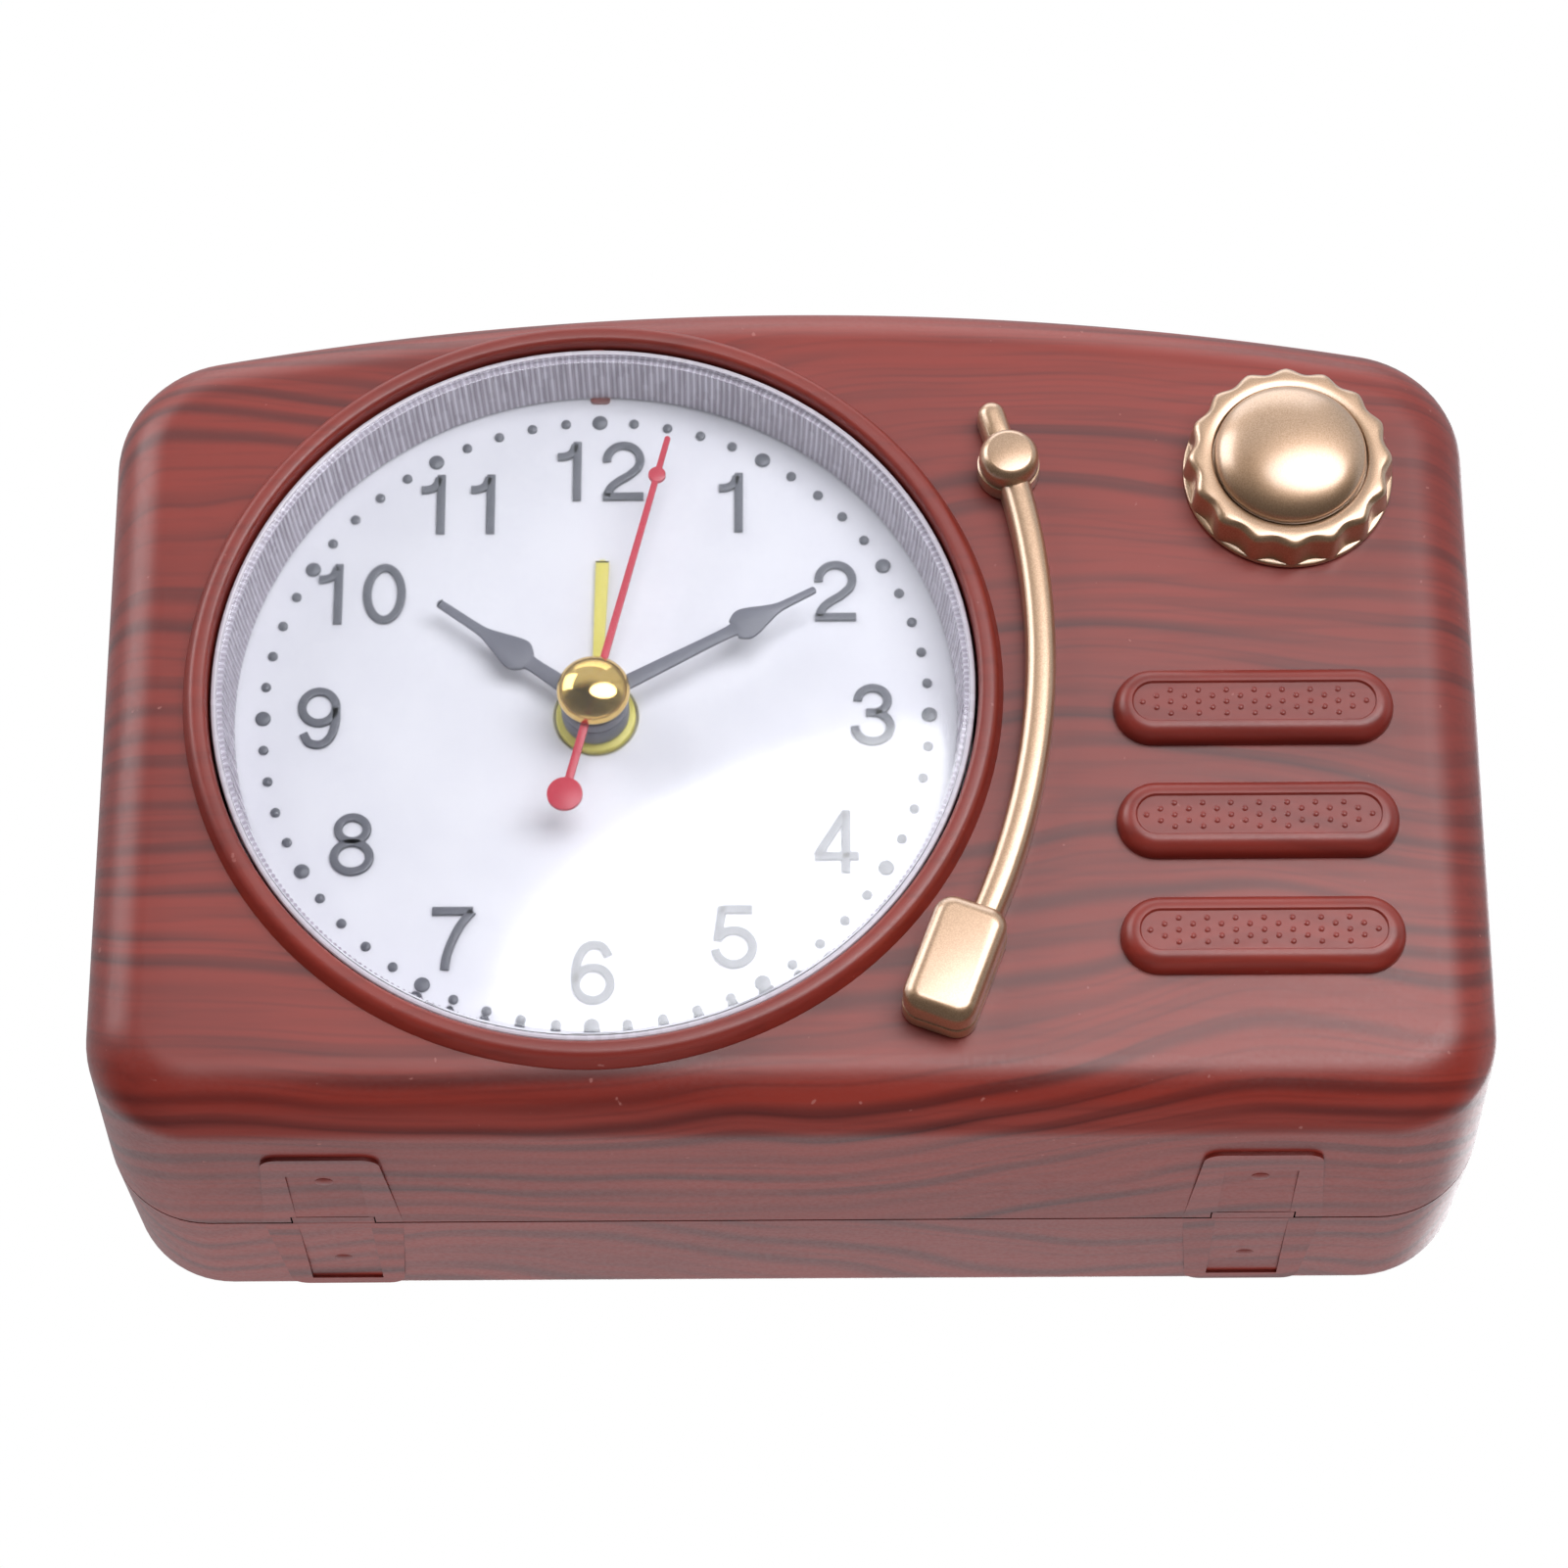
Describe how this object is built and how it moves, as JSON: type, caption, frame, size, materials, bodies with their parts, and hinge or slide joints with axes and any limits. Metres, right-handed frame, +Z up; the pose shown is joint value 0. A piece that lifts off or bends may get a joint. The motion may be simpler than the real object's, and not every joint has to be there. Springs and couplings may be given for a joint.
{
  "type": "alarm clock",
  "caption": "Battery alarm clock shaped like a small wooden record player, with a round ribbed lens over the dial, a mock tone arm, a fluted knob and three long keys.",
  "frame": {"origin": "on the table, under the middle of the case's width and of its overall depth", "axes": "+X to the right as the dial is read, +Y from the dial to the battery door, +Z up"},
  "size_m": [0.1366, 0.0562, 0.0902],
  "materials": {
    "wood_grain_plastic": "satin, printed with wood grain",
    "champagne_paint": "satin metallic paint",
    "clear_plastic": "clear, finely ribbed",
    "white_card": "smooth",
    "dark_hands": "satin",
    "red_hand": "satin",
    "alarm_hand_paint": "satin",
    "gold_cap": "polished",
    "black_plastic": "fine texture",
    "cream_plastic": "smooth",
    "steel": "satin",
    "copper_winding": "lacquered wire",
    "green_board": "lacquered"
  },
  "bodies": {
    "case": {"front_shell": "wood_grain_plastic", "back_shell": "wood_grain_plastic", "dial": "white_card", "lens": "clear_plastic", "tone_arm": "champagne_paint", "head_shell": "champagne_paint", "knob_ring": "champagne_paint", "knob_dome": "champagne_paint", "movement_plate": "black_plastic", "movement_cover": "black_plastic", "stator": "steel", "coil": "copper_winding", "circuit_board": "green_board", "chip": "black_plastic", "quartz_crystal": "steel", "plus_contact": "steel", "minus_contact": "steel", "contact_spring": "steel", "buzzer": "black_plastic", "case_screw_low_left": "steel", "case_screw_low_right": "steel", "case_screw_high_left": "steel", "case_screw_high_right": "steel", "plate_screw_low_left": "steel", "plate_screw_low_right": "steel", "plate_screw_high_left": "steel", "plate_screw_high_right": "steel"},
    "time_setter": {"time_set_knob": "black_plastic", "time_set_gear": "cream_plastic"},
    "motion_work": {"motion_wheel": "cream_plastic"},
    "minute_work": {"minute_hand": "dark_hands", "minute_cannon": "cream_plastic"},
    "hour_work": {"hour_hand": "dark_hands", "hour_wheel": "cream_plastic"},
    "alarm_setter": {"alarm_set_knob": "black_plastic", "alarm_set_gear": "cream_plastic"},
    "alarm_work": {"alarm_hand": "alarm_hand_paint", "alarm_wheel": "cream_plastic"},
    "rotor_work": {"rotor": "steel"},
    "step_work": {"step_wheel": "cream_plastic"},
    "second_work": {"second_hand": "red_hand", "hand_cap": "gold_cap", "second_wheel": "cream_plastic"},
    "third_work": {"third_wheel": "cream_plastic"},
    "centre_work": {"centre_wheel": "cream_plastic"},
    "alarm_slider": {"alarm_switch": "black_plastic"},
    "door": {"battery_door": "wood_grain_plastic"}
  },
  "joints": [
    {"name": "time_set_turn", "type": "hinge", "parent": "case", "child": "time_setter", "pos_m": [-0.03236, 0, 0.0586], "axis": [0, 1, 0], "continuous": true},
    {"name": "motion_turn", "type": "hinge", "parent": "case", "child": "motion_work", "pos_m": [-0.02248, 0, 0.05505], "axis": [0, 1, 0], "continuous": true},
    {"name": "minute_turn", "type": "hinge", "parent": "case", "child": "minute_work", "pos_m": [-0.0192, 0, 0.0456], "axis": [0, 1, 0], "continuous": true},
    {"name": "hour_turn", "type": "hinge", "parent": "case", "child": "hour_work", "pos_m": [-0.0192, 0, 0.0456], "axis": [0, 1, 0], "continuous": true},
    {"name": "alarm_set_turn", "type": "hinge", "parent": "case", "child": "alarm_setter", "pos_m": [-0.00604, 0, 0.0586], "axis": [0, 1, 0], "continuous": true},
    {"name": "alarm_turn", "type": "hinge", "parent": "case", "child": "alarm_work", "pos_m": [-0.0192, 0, 0.0456], "axis": [0, 1, 0], "continuous": true},
    {"name": "rotor_turn", "type": "hinge", "parent": "case", "child": "rotor_work", "pos_m": [-0.03146, 0, 0.03892], "axis": [0, 1, 0], "continuous": true},
    {"name": "step_turn", "type": "hinge", "parent": "case", "child": "step_work", "pos_m": [-0.02737, 0, 0.04179], "axis": [0, 1, 0], "continuous": true},
    {"name": "second_turn", "type": "hinge", "parent": "case", "child": "second_work", "pos_m": [-0.0192, 0, 0.0456], "axis": [0, 1, 0], "continuous": true},
    {"name": "third_turn", "type": "hinge", "parent": "case", "child": "third_work", "pos_m": [-0.01469, 0, 0.0378], "axis": [0, 1, 0], "continuous": true},
    {"name": "centre_turn", "type": "hinge", "parent": "case", "child": "centre_work", "pos_m": [-0.0192, 0, 0.0456], "axis": [0, 1, 0], "continuous": true},
    {"name": "alarm_switch_slide", "type": "slide", "parent": "case", "child": "alarm_slider", "axis": [0, 0, 1], "range_m": [0, 0.004]},
    {"name": "battery_door_hinge", "type": "hinge", "parent": "case", "child": "door", "pos_m": [0.021, 0.0281, 0.01775], "axis": [-1, 0, 0], "range_deg": [0, 95]}
  ],
  "couplings": [
    {"joint": "motion_turn", "follows": "time_set_turn", "ratio": -0.4},
    {"joint": "minute_turn", "follows": "time_set_turn", "ratio": 1.2},
    {"joint": "hour_turn", "follows": "time_set_turn", "ratio": 0.1},
    {"joint": "alarm_turn", "follows": "alarm_set_turn", "ratio": -1.4667},
    {"joint": "step_turn", "follows": "rotor_turn", "ratio": -0.25},
    {"joint": "second_turn", "follows": "rotor_turn", "ratio": 0.033333},
    {"joint": "third_turn", "follows": "rotor_turn", "ratio": -0.0041667},
    {"joint": "centre_turn", "follows": "rotor_turn", "ratio": 0.00055556}
  ]
}
